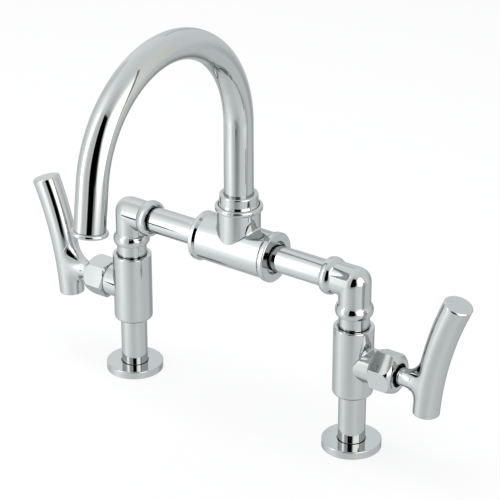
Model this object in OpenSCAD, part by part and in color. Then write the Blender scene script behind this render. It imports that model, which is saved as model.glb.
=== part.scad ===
// Bridge bathroom faucet: two lever valves joined by a bridge pipe and a tee,
// with a swivelling gooseneck spout.
// X runs along the bridge, -Y points to the basin, +Z is up.
// The origin lies on the deck, midway between the two valve axes.
// The hot side is at -X and the cold side at +X.

/* [Centres and heights] */
// Distance between the axes of the two legs
inlet_centres = 203.2; // [190:0.1:230]
// Height of the bridge pipe's axis over the deck
bridge_z = 132.6; // [131:0.1:145]
// Height of the valve stems' axis over the deck
stem_z = 70.6; // [69.5:0.1:72]

/* [Deck flange] */
// Radius of the flange
flange_r = 22.1; // [20:0.1:26]
// Height of the flange
flange_h = 6.1; // [4:0.1:9]
// Rounding of the flange's upper rim
flange_edge_r = 1.8; // [0.5:0.1:3]
// Gap between the flange's hole and the riser
flange_gap = 0.64; // [0.3:0.02:0.9]
// Width of metal between the gasket and the flange's rim
gasket_inset = 2.6; // [1.5:0.1:4]
// Width of the gasket ring
gasket_w = 4.2; // [2.5:0.1:5]
// Thickness of the gasket ring
gasket_t = 1.6; // [1:0.1:2.5]

/* [Riser] */
// Outer radius of the riser pipe
riser_r = 10.16; // [9.8:0.01:10.6]
// Radius of the waterway through the riser
riser_bore_r = 6.8; // [6:0.1:7]
// Core radius of the inlet thread
inlet_thread_r = 7.5; // [7.3:0.1:8]
// Depth of the inlet thread
inlet_thread_depth = 14; // [10:0.5:20]

/* [Valve body] */
// Outer radius of the valve body
body_r = 14.9; // [14.2:0.1:16]
// Height of the valve body's lower end over the deck
body_z = 43.9; // [40:0.1:44.5]
// Height of the valve body
body_h = 54.65; // [52:0.05:60]
// Rounding of the valve body's lower edge
body_foot_r = 3; // [1:0.1:3.5]
// Rounding of the valve body's upper edge
body_top_r = 0.9; // [0.4:0.1:1.5]
// Depth of the sockets for the riser and the elbow
socket_depth = 12; // [9:0.1:13]
// Outer radius of the side port
port_r = 12.7; // [12.2:0.1:13.5]
// Distance from the leg's axis to the end of the side port
port_len = 20.4; // [19:0.1:23]
// Radius of the port's thread
thread_r = 11; // [10.8:0.1:11.4]
// Length of the port's thread
thread_len = 9.5; // [8:0.1:12]
// Radius of the pocket for the cartridge
pocket_r = 9.15; // [8.9:0.05:9.5]
// Radius of the drilled passages
passage_r = 4.2; // [3.5:0.1:4.5]
// Distance of the drilled passages from the leg's axis
passage_offset = 5.6; // [5:0.1:6]
// Radius of the ring gallery round the cartridge
gallery_r = 10.8; // [10:0.1:11]
// Width of the ring gallery
gallery_w = 6; // [4:0.1:8]

/* [Cartridge] */
// Thickness of the rubber seat seal
seat_t = 3.2; // [2:0.1:4]
// Radius of the ceramic discs
disc_r = 6.9; // [6.5:0.1:7.2]
// Thickness of a ceramic disc
disc_t = 3; // [2:0.1:3.5]
// Radius of a water hole in a ceramic disc
disc_hole_r = 1.9; // [1.5:0.1:2.1]
// Distance of a water hole from the disc's centre
disc_hole_offset = 3.8; // [3.4:0.1:4.2]
// Radius of the cartridge's water windows
window_r = 2.2; // [1.5:0.1:2.4]
// Thickness of the cartridge's clamping flange
clamp_t = 2; // [1.5:0.1:3]
// Radius of the cartridge's nose
nose_r = 6.4; // [6:0.1:7]
// Length of the cartridge's nose
nose_len = 2.3; // [1.5:0.1:3]
// Radius of the stem
stem_r = 4; // [3.5:0.1:4.3]
// Thickness of the stem's driver plate
driver_t = 3; // [2:0.1:4]
// Length of stem inside the lever's neck
stem_grip = 16; // [14:0.5:17]

/* [Bonnet nut] */
// Width of the nut across its flats
nut_af = 27.7; // [26.6:0.1:29]
// Length of the nut
nut_len = 19.3; // [17:0.1:24]
// Radius of the nut's inner face, where its chamfer ends
nut_face_r = 13.1; // [12.6:0.1:13.4]
// Radius of the nut's mouth, which the lever's neck runs in
nut_mouth_r = 8.9; // [8.2:0.1:9.5]
// Length of the nut's crowned end
nut_crown = 6.5; // [4:0.1:8]
// Radius of the nut's outer face
nut_nose_r = 11.2; // [10.6:0.1:12]
// Turn of the hot side's nut
hot_nut_turn = 40; // [0:1:59]
// Turn of the cold side's nut
cold_nut_turn = 11; // [0:1:59]

/* [Lever handle] */
// Radius of the lever bar
lever_r = 9.9; // [9:0.1:10.5]
// Distance from the leg's axis to the bar's centreline at stem height
lever_offset = 64.6; // [63:0.1:70]
// Lean of the bar at stem height
lever_lean = 8.1; // [5:0.1:9]
// Radius of the bar's bend
lever_bend_r = 255; // [200:1:400]
// Length of the bar over the stem
lever_up = 73; // [55:0.5:85]
// Length of the bar under the stem
lever_down = 23; // [20:0.5:30]
// Chamfer of the bar's ends
lever_edge = 0.9; // [0.4:0.1:1.5]
// Radius of the lever's neck
neck_r = 6.6; // [6.2:0.1:7]
// Length of neck inside the nut's mouth
neck_in = 5; // [4.6:0.1:5.3]
// Radius of the fillet between neck and bar
neck_fillet_r = 13; // [11:0.1:13.5]
// Radius of the grub screw
screw_r = 2; // [1.5:0.1:2.5]
// Length of the grub screw
screw_len = 4.5; // [3.5:0.1:5]
// Distance from the bar's inner face to the grub screw's axis
screw_setback = 5.2; // [4.6:0.1:5.8]

/* [Elbow] */
// Radius of the elbow's neck, which stands in the valve body
elbow_neck_r = 11.35; // [11:0.05:11.7]
// Radius of the elbow's barrel
elbow_r = 11.85; // [11.7:0.05:12.3]
// How far the ball at the elbow's corner stands over the barrel
ball_swell = 0.35; // [0.2:0.05:0.6]
// Radius of the elbow's upright waterway
elbow_bore_r = 8.1; // [7:0.1:8.2]
// Distance from the leg's axis to the elbow's mouth
elbow_reach = 22.8; // [22.4:0.1:28]
// Depth of the pipe's socket in the elbow
pipe_socket = 9.5; // [7:0.1:10]
// Radius over each bead
bead_r = 13.95; // [13.4:0.05:14.5]
// Distance from a bead's crest to where it meets the barrel
bead_half = 5.1; // [4.6:0.1:5.9]
// Height of the foot bead's crest over the valve body
bead_rise = 13.2; // [11:0.1:14]
// Distance from a bead's crest to the face that cuts it off
bead_cut = 3.6; // [3:0.1:4.4]
// Width of the dark ring round the elbow's neck
neck_gap = 0.85; // [0.5:0.05:1]
// Depth of the dark ring round the elbow's neck
neck_gap_depth = 1.5; // [0.8:0.1:2]
// Width of the dark ring round the pipe in the elbow's mouth
mouth_gap = 1.4; // [0.7:0.05:1.5]
// Depth of the dark ring round the pipe in the elbow's mouth
mouth_gap_depth = 2.5; // [1:0.1:3]

/* [Bridge pipe and tee] */
// Outer radius of the bridge pipe
pipe_r = 9.9; // [9.75:0.05:10.1]
// Wall of the bridge pipe
pipe_wall = 1.5; // [1:0.1:1.7]
// Radius of the tee's body
tee_r = 17.5; // [17:0.1:18.2]
// Distance from the tee's centre to each mouth
tee_half = 33.6; // [32:0.1:40]
// Radius of the discs at the mouths
tee_disc_r = 18.8; // [18.5:0.1:20]
// Width of the discs at the mouths
tee_disc_w = 3.8; // [3:0.1:5]
// Rounding of the tee's disc and rim edges
tee_edge_r = 1.1; // [0.5:0.1:1.4]
// Distance from the tee's centre to the end of each pipe
pipe_stop = 20.5; // [19.5:0.1:22]
// Radius of the tee's waterway
tee_bore_r = 8.2; // [7.5:0.1:8.4]
// Radius of the hole in each mouth
ferrule_r = 12.5; // [12:0.1:13.5]
// Depth of the hole in each mouth
ferrule_depth = 6; // [5:0.1:7]
// Length of the ferrule's wide part
ferrule_wide = 2.4; // [1.5:0.1:3]
// Length of the ferrule's narrow part
ferrule_narrow = 1.8; // [1:0.1:2]
// Radius of the ferrule's narrow part
ferrule_nose_r = 11.2; // [10.9:0.1:11.6]

/* [Tee branch and swivel] */
// Radius of the upright branch
branch_r = 16.1; // [15.8:0.1:16.6]
// Height of the branch's top over the pipe's axis
branch_h = 34.4; // [33:0.1:40]
// Radius of the rim round the branch's top
rim_r = 17.7; // [17:0.1:18.5]
// Height of the rim
rim_h = 4.2; // [3:0.1:6]
// Height of the swivel's floor over the pipe's axis
swivel_floor = 9.6; // [9:0.1:11]
// Radius of the swivel's bore
swivel_r = 13; // [12.6:0.05:13.2]
// Length of the swivel bush
bush_len = 9.2; // [8.4:0.1:10]
// Thickness of a glide ring
glide_t = 1; // [0.6:0.1:1.4]
// Radius of the collar's thread
collar_thread_r = 13.9; // [13.6:0.05:14.2]
// Outer radius of the collar
collar_r = 14.35; // [14.3:0.05:15]
// Height of the collar over the branch's top
collar_rise = 8.7; // [6:0.1:12]
// Depth of the collar's seat in the branch
collar_seat = 2.5; // [1.5:0.1:3]
// Rounding of the collar's upper edge
collar_edge_r = 1.4; // [0.5:0.1:2]
// Gap between the collar and the rim
collar_gap = 0.55; // [0.3:0.05:0.8]

/* [Spout] */
// Outer radius of the spout tube
spout_r = 10.9; // [10.4:0.1:11.1]
// Wall of the spout tube
spout_wall = 1.2; // [0.8:0.1:1.6]
// Height over the deck where the spout's bend begins
spout_bend_z = 229.2; // [210:0.1:300]
// Radius of the spout's bend along its centreline
spout_bend_r = 81; // [60:0.5:110]
// Angle that the spout turns through
spout_turn = 172.5; // [150:0.5:180]
// Straight length after the bend
spout_drop = 31.8; // [15:0.1:60]

/* [Aerator] */
// Radius over the outlet's half round lip
lip_r = 12.8; // [12.4:0.1:13.6]
// Height of the outlet's lip
lip_h = 3.5; // [3:0.1:5]
// Radius of the aerator's bore
aerator_r = 8.7; // [8.3:0.1:8.8]
// Length of the housing inside the tube
aerator_in = 7; // [5.5:0.1:9]
// Width of the housing's ledge under the washer
ledge_w = 1.4; // [1:0.1:1.8]
// Thickness of the aerator's washer
washer_t = 1.4; // [1:0.1:2]
// Width of the aerator's washer
washer_w = 2; // [1.6:0.1:2.5]
// Wall of the aerator's insert
insert_wall = 1.2; // [0.8:0.1:1.6]
// Distance from the strainer's face up to the lip's end
strainer_recess = 0.9; // [0.4:0.1:1.5]
// Thickness of the strainer plate
strainer_t = 1.4; // [1:0.1:2]
// Radius of a strainer hole
strainer_hole_r = 0.65; // [0.4:0.05:0.8]
// Distance between strainer holes
strainer_pitch = 2.1; // [1.9:0.1:3]

/* [Fits] */
// Radial clearance of pieces that are screwed, pressed or soldered together
fit_gap = 0.05; // [0.02:0.01:0.1]
// Radial clearance of pieces that turn
run_gap = 0.06; // [0.03:0.01:0.1]
// End clearance between pieces in line
end_gap = 0.1; // [0.05:0.01:0.3]
// Depth of an O-ring groove
seal_t = 1.3; // [1:0.05:1.4]
// Width of an O-ring groove
seal_w = 1.9; // [1.6:0.1:2.4]
// Clearance all round an O-ring
seal_gap = 0.02; // [0.01:0.01:0.05]

/* [Hidden] */
SIDES = ["hot", "cold"];
SIDE_NODES = ["deck_flange", "deck_gasket", "riser", "riser_oring", "valve_body", "seat_seal",
    "fixed_disc", "turning_disc", "cartridge", "stem_oring", "stem", "bonnet_nut", "handle",
    "grub_screw", "elbow", "elbow_oring", "bridge_pipe", "ferrule_oring", "ferrule"];
// Facets of a full turn on small pieces, and on the long bends
ROUND = 72;
LONG = 720;
// Overshoot of a cut past the face it opens
CUT = 1;
// Size of a slightly broken edge
SOFT = 0.4;
// Angle between the start of a nut's turned shape and its corner
SEAM = 11;
// A straight end reaches this far into the bend it continues, and is this much slimmer
LAP = 1;
STEP = 0.05;
// A bore of the elbow runs this share of its radius past the corner's centre
BORE_END = 0.7;
half_centres = inlet_centres / 2;
body_top_z = body_z + body_h;
// Stations along a stem's axis, measured outwards from its leg's axis
spigot_end = port_len + thread_len;
clamp_end = spigot_end + clamp_t;
nose_end = clamp_end + nose_len;
nut_end = port_len + nut_len;
neck_start = max(nut_end - neck_in, nose_end + end_gap);
discs_end = seat_t + 2 * disc_t + end_gap;
driver_end = discs_end + driver_t;
chamber_end = driver_end + end_gap;
stem_end = neck_start + stem_grip;
lever_face = lever_offset - lever_r;
screw_x = lever_face - screw_setback;
// Angles from upright of the bar's lower and upper end
lever_low = lever_lean - (lever_down - lever_edge) / lever_bend_r * 180 / PI;
lever_high = lever_lean + (lever_up - lever_edge) / lever_bend_r * 180 / PI;
lever_centre = [lever_offset + lever_bend_r * cos(lever_lean), 0, stem_z - lever_bend_r * sin(lever_lean)];
// Heights in the tee's branch
branch_top_z = bridge_z + branch_h;
floor_z = bridge_z + swivel_floor;
bush_z = floor_z + glide_t + end_gap;
bush_top_z = bush_z + bush_len;
collar_foot_z = bush_top_z + glide_t + 2 * end_gap;
bush_r = swivel_r - run_gap;
aerator_floor = aerator_in - CUT;

// Points of an arc about centre c, from angle a0 to angle a1
function arc(c, r, a0, a1, n = 8) = [for (i = [0:n]) c + r * [cos(a0 + (a1 - a0) * i / n),
    sin(a0 + (a1 - a0) * i / n)]];

// Outline of half a round bar from height z0 to z1, with its two edges rounded
function round_bar(r, z0, z1, low_r, high_r) = concat([[0, z0]],
    arc([r - low_r, z0 + low_r], low_r, -90, 0), arc([r - high_r, z1 - high_r], high_r, 0, 90), [[0, z1]]);

module chrome() color([0.86, 0.87, 0.89]) children();
module brass() color([0.78, 0.66, 0.36]) children();
module rubber() color([0.12, 0.12, 0.13]) children();
module ceramic() color([0.95, 0.94, 0.9]) children();
module plastic() color([0.3, 0.32, 0.35]) children();

module spin(points) rotate_extrude($fn = ROUND) polygon(points);

module post(r, z0, z1) translate([0, 0, z0]) cylinder(r = r, h = z1 - z0, $fn = ROUND);

module pipe(r_out, r_in, z0, z1) {
    difference() {
        post(r_out, z0, z1);
        post(r_in, z0 - CUT, z1 + CUT);
    }
}

// Groove cut for an O-ring into a post of radius r
module ring_groove(r, z) pipe(r + CUT, r - seal_t, z - seal_w / 2, z + seal_w / 2);

// O-ring between a groove's floor and the wall round it
module oring(floor_r, wall_r, z) {
    rotate_extrude($fn = ROUND)
        translate([(floor_r + wall_r) / 2, z])
            circle(r = (wall_r - floor_r) / 2 - seal_gap, $fn = 24);
}

// A side's own frame: its leg's axis is Z and +X points outwards
module on_side(s) translate([s * half_centres, 0, 0]) mirror([s < 0 ? 1 : 0, 0, 0]) children();

// Lays what is drawn along Z along the stem's axis, outwards
module on_stem() translate([0, 0, stem_z]) rotate([0, 90, 0]) children();

// Lays what is drawn along Z along the bridge pipe's axis, outwards from the leg
module on_bridge() translate([0, 0, bridge_z]) rotate([0, 90, 0]) children();

module deck_flange() {
    hole_r = riser_r + flange_gap;
    gasket_out = flange_r - gasket_inset;
    chrome() difference() {
        spin(round_bar(flange_r, 0, flange_h, SOFT, flange_edge_r));
        post(hole_r, -CUT, flange_h + CUT);
        pipe(gasket_out, gasket_out - gasket_w, -CUT, gasket_t);
    }
}

module deck_gasket() {
    gasket_out = flange_r - gasket_inset;
    rubber() pipe(gasket_out - fit_gap, gasket_out - gasket_w + fit_gap, 0, gasket_t);
}

module riser() {
    chrome() difference() {
        post(riser_r, 0, body_z + socket_depth - end_gap);
        post(riser_bore_r, -CUT, body_z + socket_depth + CUT);
        post(inlet_thread_r, -CUT, inlet_thread_depth);
        ring_groove(riser_r, body_z + socket_depth / 2);
    }
}

module riser_oring() rubber() oring(riser_r - seal_t, riser_r + fit_gap, body_z + socket_depth / 2);

module valve_body() {
    low_z = body_z + socket_depth;
    high_z = body_top_z - socket_depth;
    gallery_x = chamber_end - gallery_w;
    chrome() difference() {
        union() {
            spin(round_bar(body_r, body_z, body_top_z, body_foot_r, body_top_r));
            on_stem() post(port_r, 0, port_len);
            on_stem() post(thread_r, 0, spigot_end);
        }
        post(riser_r + fit_gap, body_z - CUT, low_z);
        post(elbow_neck_r + fit_gap, high_z, body_top_z + CUT);
        post(elbow_neck_r + neck_gap, body_top_z - neck_gap_depth, body_top_z + CUT);
        on_stem() post(pocket_r, 0, spigot_end + CUT);
        on_stem() post(gallery_r, gallery_x, chamber_end);
        translate([-passage_offset, 0, 0]) post(passage_r, low_z - CUT, stem_z);
        on_stem() post(passage_r, -passage_offset, CUT);
        translate([passage_offset, 0, 0]) post(passage_r, stem_z, high_z + CUT);
    }
}

module seat_seal() rubber() on_stem() pipe(pocket_r - fit_gap, passage_r, 0, seat_t);

// Ceramic disc with its two water holes, turned by a given angle
module water_disc(x, turn) {
    ceramic() on_stem() difference() {
        post(disc_r, x, x + disc_t);
        for (side = [0, 180])
            rotate([0, 0, turn + side])
                translate([disc_hole_offset, 0, 0])
                    post(disc_hole_r, x - CUT, x + disc_t + CUT);
    }
}

module fixed_disc() water_disc(seat_t, 0);

module turning_disc() water_disc(seat_t + disc_t + end_gap / 2, 90);

module cartridge() {
    groove_x = (chamber_end + spigot_end) / 2;
    window_x = chamber_end - window_r - end_gap;
    brass() on_stem() difference() {
        union() {
            post(pocket_r - fit_gap, seat_t, spigot_end);
            post(thread_r - fit_gap, spigot_end, clamp_end);
            post(nose_r, spigot_end, nose_end);
        }
        post(disc_r + run_gap, seat_t - CUT, chamber_end);
        post(stem_r + run_gap, seat_t, nose_end + CUT);
        post(stem_r + run_gap + seal_t, groove_x - seal_w / 2, groove_x + seal_w / 2);
        translate([0, 0, window_x]) rotate([0, 90, 0]) post(window_r, -pocket_r - CUT, pocket_r + CUT);
    }
}

module stem_oring() rubber() on_stem() oring(stem_r + run_gap, stem_r + run_gap + seal_t, (chamber_end + spigot_end) / 2);

module stem() {
    brass() on_stem() union() {
        post(disc_r - run_gap, discs_end, driver_end);
        post(stem_r, discs_end, stem_end);
    }
}

// The nut's turned shape starts SEAM degrees before one of its corners
module bonnet_nut(turn) {
    corner_r = nut_af / sqrt(3);
    crown_a = atan2(nut_crown, corner_r - nut_nose_r);
    crown_len = norm([nut_crown, corner_r - nut_nose_r]);
    crown_r = crown_len / 2 / cos(crown_a);
    crown_start = nut_end - nut_crown;
    swing = 180 - 2 * crown_a;
    profile = concat([[0, port_len], [nut_face_r, port_len],
        [corner_r, port_len + (corner_r - nut_face_r) * tan(30)]],
        arc([corner_r - crown_r, crown_start], crown_r, 0, swing), [[0, nut_end]]);
    chrome() on_stem() rotate([0, 0, turn - SEAM]) difference() {
        intersection() {
            spin(profile);
            rotate([0, 0, SEAM]) translate([0, 0, port_len]) cylinder(r = corner_r, h = nut_len, $fn = 6);
        }
        post(thread_r + fit_gap, port_len - CUT, clamp_end);
        post(nut_mouth_r, port_len, nut_end + CUT);
    }
}

// Places what is drawn along Z on the bar's centreline, where the bar leans by angle a
module on_lever(a) {
    translate(lever_centre + lever_bend_r * [-cos(a), 0, sin(a)]) rotate([0, a, 0]) children();
}

// Neck of the lever, flaring into the bar within a post along the stem and a rod along the bar
module lever_neck() {
    wide_r = neck_r + neck_fillet_r;
    over_centre = stem_z + wide_r - lever_centre[2];
    meet_x = lever_centre[0] - sqrt(pow(lever_bend_r + lever_r, 2) - pow(over_centre, 2));
    fillet_x = meet_x + end_gap - neck_fillet_r;
    intersection() {
        on_stem() spin(concat([[0, neck_start], [neck_r - SOFT, neck_start], [neck_r, neck_start + SOFT]],
            arc([wide_r, fillet_x], neck_fillet_r, 180, 90), [[wide_r, lever_offset], [0, lever_offset]]));
        union() {
            on_stem() post(lever_r - SOFT, neck_start - CUT, lever_offset);
            on_lever(lever_lean) translate([-lever_r / 2, 0, 0]) post(lever_r - 1.5 * SOFT, -2 * wide_r, 2 * wide_r);
        }
    }
}

// Chamfered end of the bar
module lever_cap() {
    end_r = lever_r - STEP;
    spin([[0, -LAP], [end_r, -LAP], [end_r, 0], [end_r - lever_edge, lever_edge], [0, lever_edge]]);
}

module handle() {
    chrome() difference() {
        union() {
            translate(lever_centre)
                rotate([0, lever_low, 0])
                    rotate([90, 0, 180])
                        rotate_extrude(angle = lever_high - lever_low, $fn = LONG)
                            translate([lever_bend_r, 0])
                                circle(r = lever_r, $fn = ROUND);
            on_lever(lever_high) lever_cap();
            on_lever(lever_low) mirror([0, 0, 1]) lever_cap();
            lever_neck();
        }
        on_stem() post(stem_r + fit_gap, neck_start - CUT, stem_end + end_gap);
        translate([screw_x, 0, 0]) post(screw_r + fit_gap, stem_z - neck_r - neck_fillet_r, stem_z);
    }
}

module grub_screw() {
    top_z = stem_z - stem_r - end_gap;
    color([0.62, 0.63, 0.65]) translate([screw_x, 0, 0]) difference() {
        post(screw_r, top_z - screw_len, top_z);
        translate([0, 0, top_z - screw_len - CUT]) cylinder(r = screw_r / 2, h = CUT + screw_len / 3, $fn = 6);
    }
}

module elbow() {
    foot_z = body_top_z - socket_depth + end_gap;
    bead_z = body_top_z + bead_rise;
    crest_x = bead_cut - elbow_reach;
    rise = bead_r - elbow_r;
    bead_arc_r = (pow(bead_half, 2) + pow(rise, 2)) / 2 / rise;
    full_swing = asin(bead_half / bead_arc_r);
    cut_swing = asin(bead_cut / bead_arc_r);
    level_bore_r = pipe_r - pipe_wall;
    chrome() difference() {
        union() {
            post(elbow_neck_r, foot_z, bead_z);
            post(elbow_r, bead_z, bridge_z);
            spin(concat([[0, bead_z - bead_cut]],
                arc([bead_r - bead_arc_r, bead_z], bead_arc_r, -cut_swing, full_swing),
                [[0, bead_z + bead_half]]));
            translate([0, 0, bridge_z]) sphere(r = elbow_r + ball_swell, $fn = ROUND);
            on_bridge() post(elbow_r, crest_x, 0);
            on_bridge() spin(concat([[0, -elbow_reach]],
                arc([bead_r - bead_arc_r, crest_x], bead_arc_r, -cut_swing, full_swing),
                [[0, crest_x + bead_half]]));
        }
        post(elbow_bore_r, foot_z - CUT, bridge_z + elbow_bore_r * BORE_END);
        on_bridge() post(level_bore_r, -elbow_reach, level_bore_r * BORE_END);
        on_bridge() post(pipe_r + fit_gap, -elbow_reach - CUT, -elbow_reach + pipe_socket);
        on_bridge() post(pipe_r + mouth_gap, -elbow_reach - CUT, -elbow_reach + mouth_gap_depth);
        ring_groove(elbow_neck_r, body_top_z - socket_depth / 2);
    }
}

module elbow_oring() {
    rubber() oring(elbow_neck_r - seal_t, elbow_neck_r + fit_gap, body_top_z - socket_depth / 2);
}

module bridge_pipe() {
    chrome() on_bridge()
        pipe(pipe_r, pipe_r - pipe_wall, pipe_stop + end_gap - half_centres, pipe_socket - elbow_reach - end_gap);
}

module ferrule_oring() {
    seat_x = tee_half - ferrule_depth - half_centres;
    rubber() on_bridge() oring(pipe_r, pipe_r + seal_t, seat_x - seal_w / 2);
}

module ferrule() {
    seat_x = tee_half - ferrule_depth - half_centres;
    wide_x = seat_x + ferrule_wide;
    chrome() on_bridge() difference() {
        union() {
            post(ferrule_r - fit_gap, seat_x, wide_x);
            post(ferrule_nose_r, seat_x, wide_x + ferrule_narrow);
        }
        post(pipe_r + fit_gap, seat_x - CUT, wide_x + ferrule_narrow + CUT);
    }
}

// One half of the tee's outside along the bridge, ending in its disc
module tee_arm() {
    disc_x = tee_half - tee_disc_w;
    translate([0, 0, bridge_z]) rotate([0, 90, 0]) {
        post(tee_r, 0, disc_x + CUT);
        spin(round_bar(tee_disc_r, disc_x, tee_half, tee_edge_r, tee_edge_r));
    }
}

// What is cut out of one half of the tee for its pipe, ring and ferrule
module tee_arm_cut() {
    seat_x = tee_half - ferrule_depth;
    translate([0, 0, bridge_z]) rotate([0, 90, 0]) {
        post(tee_bore_r, -CUT, seat_x);
        post(pipe_r + fit_gap, pipe_stop, seat_x + CUT);
        post(pipe_r + seal_t, seat_x - seal_w, seat_x + CUT);
        post(ferrule_r, seat_x, tee_half + CUT);
    }
}

module tee() {
    chrome() difference() {
        union() {
            tee_arm();
            mirror([1, 0, 0]) tee_arm();
            post(branch_r, bridge_z, branch_top_z - CUT);
            spin(round_bar(rim_r, branch_top_z - rim_h, branch_top_z, tee_edge_r, tee_edge_r));
        }
        tee_arm_cut();
        mirror([1, 0, 0]) tee_arm_cut();
        post(spout_r - spout_wall, bridge_z, floor_z + CUT);
        post(swivel_r, floor_z, branch_top_z);
        post(collar_thread_r + fit_gap, collar_foot_z - end_gap, branch_top_z);
        post(collar_r + collar_gap, branch_top_z - collar_seat, branch_top_z + CUT);
    }
}

module lower_glide_ring() plastic() pipe(bush_r, spout_r, floor_z, floor_z + glide_t);

module upper_glide_ring() {
    z = collar_foot_z - end_gap / 2 - glide_t;
    plastic() pipe(bush_r, spout_r + run_gap, z, z + glide_t);
}

module swivel_bush() {
    brass() difference() {
        pipe(bush_r, spout_r + fit_gap, bush_z, bush_top_z);
        for (part = [1, 3])
            ring_groove(bush_r, bush_z + bush_len * part / 4);
    }
}

module swivel_orings() {
    rubber() for (part = [1, 3])
        oring(bush_r - seal_t, swivel_r, bush_z + bush_len * part / 4);
}

module spout_collar() {
    chrome() difference() {
        union() {
            post(collar_thread_r, collar_foot_z, branch_top_z);
            spin(round_bar(collar_r, branch_top_z - collar_seat, branch_top_z + collar_rise, SOFT, collar_edge_r));
        }
        post(spout_r + run_gap, collar_foot_z - CUT, branch_top_z + collar_rise + CUT);
        translate([0, 0, branch_top_z + collar_rise - SOFT])
            cylinder(r1 = spout_r + run_gap, r2 = spout_r + run_gap + SOFT, h = SOFT, $fn = ROUND);
    }
}

// Places what is drawn along Z at the end of the spout's bend, along the tube
module after_bend() {
    translate([0, spout_bend_r * (cos(spout_turn) - 1), spout_bend_z + spout_bend_r * sin(spout_turn)])
        rotate([spout_turn, 0, 0])
            children();
}

// Places what is drawn along Z at the tube's outlet, along the tube
module at_outlet() after_bend() translate([0, 0, spout_drop]) children();

// The whole length of the spout as a solid bar of radius r, with its ends lengthened by extra
module spout_bar(r, extra) {
    post(r, bush_z - extra, spout_bend_z);
    translate([0, -spout_bend_r, spout_bend_z])
        rotate([90, 0, 90])
            rotate_extrude(angle = spout_turn, $fn = LONG)
                translate([spout_bend_r, 0])
                    circle(r = r, $fn = ROUND);
    after_bend() post(r - STEP, -LAP, spout_drop + extra);
}

module spout_tube() {
    chrome() difference() {
        spout_bar(spout_r, 0);
        spout_bar(spout_r - spout_wall, CUT);
    }
}

module aerator_housing() {
    half_h = lip_h / 2;
    inside_r = spout_r - spout_wall - fit_gap;
    chrome() at_outlet() difference() {
        union() {
            post(inside_r, -aerator_in, half_h);
            spin(concat([[0, 0]], arc([lip_r - half_h, half_h], half_h, -90, 90), [[0, lip_h]]));
        }
        post(aerator_r - ledge_w, -aerator_in - CUT, lip_h + CUT);
        post(aerator_r, -aerator_floor, lip_h + CUT);
    }
}

module aerator_washer() {
    rubber() at_outlet() pipe(aerator_r - fit_gap, aerator_r - washer_w, -aerator_floor, washer_t - aerator_floor);
}

module aerator_insert() {
    face = lip_h - strainer_recess;
    inner_r = aerator_r - insert_wall;
    rings = floor((inner_r - strainer_hole_r) / strainer_pitch);
    plastic() at_outlet() difference() {
        post(aerator_r - fit_gap, washer_t - aerator_floor, face);
        post(inner_r, -aerator_floor, face - strainer_t);
        post(strainer_hole_r, face - strainer_t - CUT, face + CUT);
        for (ring = [1:rings])
            for (k = [0:6 * ring - 1])
                rotate([0, 0, k * 60 / ring])
                    translate([ring * strainer_pitch, 0, 0])
                        post(strainer_hole_r, face - strainer_t - CUT, face + CUT);
    }
}

// Draws one piece of a side by its name, in that side's own frame
module side_piece(name, s) {
    on_side(s) {
        if (name == "deck_flange") deck_flange();
        if (name == "deck_gasket") deck_gasket();
        if (name == "riser") riser();
        if (name == "riser_oring") riser_oring();
        if (name == "valve_body") valve_body();
        if (name == "seat_seal") seat_seal();
        if (name == "fixed_disc") fixed_disc();
        if (name == "turning_disc") turning_disc();
        if (name == "cartridge") cartridge();
        if (name == "stem_oring") stem_oring();
        if (name == "stem") stem();
        if (name == "bonnet_nut") bonnet_nut(s < 0 ? hot_nut_turn : cold_nut_turn);
        if (name == "handle") handle();
        if (name == "grub_screw") grub_screw();
        if (name == "elbow") elbow();
        if (name == "elbow_oring") elbow_oring();
        if (name == "bridge_pipe") bridge_pipe();
        if (name == "ferrule_oring") ferrule_oring();
        if (name == "ferrule") ferrule();
    }
}

for (i = [0, 1])
    for (name = SIDE_NODES)
        side_piece(name, 2 * i - 1);
tee();
lower_glide_ring();
swivel_bush();
swivel_orings();
upper_glide_ring();
spout_collar();
spout_tube();
aerator_housing();
aerator_washer();
aerator_insert();
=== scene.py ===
# %% [markdown]
# # A bridge bathroom faucet
# The faucet stands on two legs, 203.2 mm apart. Each leg carries a valve with a lever, and an
# elbow turns its water into the bridge pipe. A tee in the middle carries the gooseneck spout.
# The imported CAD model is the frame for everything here: each new surface lies where the CAD has
# it, apart from a few softer shapes, and hides the CAD solid that it stands for. Nearly all of it
# is polished chrome, and chrome shows every facet, so each visible piece is made again as a dense,
# smooth surface.
# %% Load the frame
import math

import bpy
import numpy as np
from mathutils import Matrix


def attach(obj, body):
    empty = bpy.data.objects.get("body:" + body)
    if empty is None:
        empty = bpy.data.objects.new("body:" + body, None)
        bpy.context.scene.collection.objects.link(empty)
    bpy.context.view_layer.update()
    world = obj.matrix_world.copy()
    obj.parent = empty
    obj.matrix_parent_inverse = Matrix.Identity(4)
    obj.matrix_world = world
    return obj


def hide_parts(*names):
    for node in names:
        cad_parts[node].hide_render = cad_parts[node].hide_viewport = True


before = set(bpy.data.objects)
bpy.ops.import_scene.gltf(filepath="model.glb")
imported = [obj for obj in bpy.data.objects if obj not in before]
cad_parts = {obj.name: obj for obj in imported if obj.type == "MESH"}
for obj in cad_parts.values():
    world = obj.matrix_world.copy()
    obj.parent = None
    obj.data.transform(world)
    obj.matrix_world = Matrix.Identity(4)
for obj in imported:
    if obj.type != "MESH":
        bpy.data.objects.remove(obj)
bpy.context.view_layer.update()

# %% [markdown]
# ## Sizes
# The CAD was drawn in millimetres, so these sizes are in millimetres too, and become metres when
# a mesh is made. The axes are the CAD's: X along the bridge, Z up, and the spout reaches to -Y.
# The last number says how many points a circle gets.
# %% Sizes that several pieces share
MM = 0.001
HALF_CENTRES, BRIDGE_Z, STEM_Z = 101.6, 132.6, 70.6
FLANGE_R, FLANGE_H, FLANGE_HOLE = 22.1, 6.1, 10.8
RISER_R, RISER_BORE, RISER_TOP = 10.16, 6.8, 55.8
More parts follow.
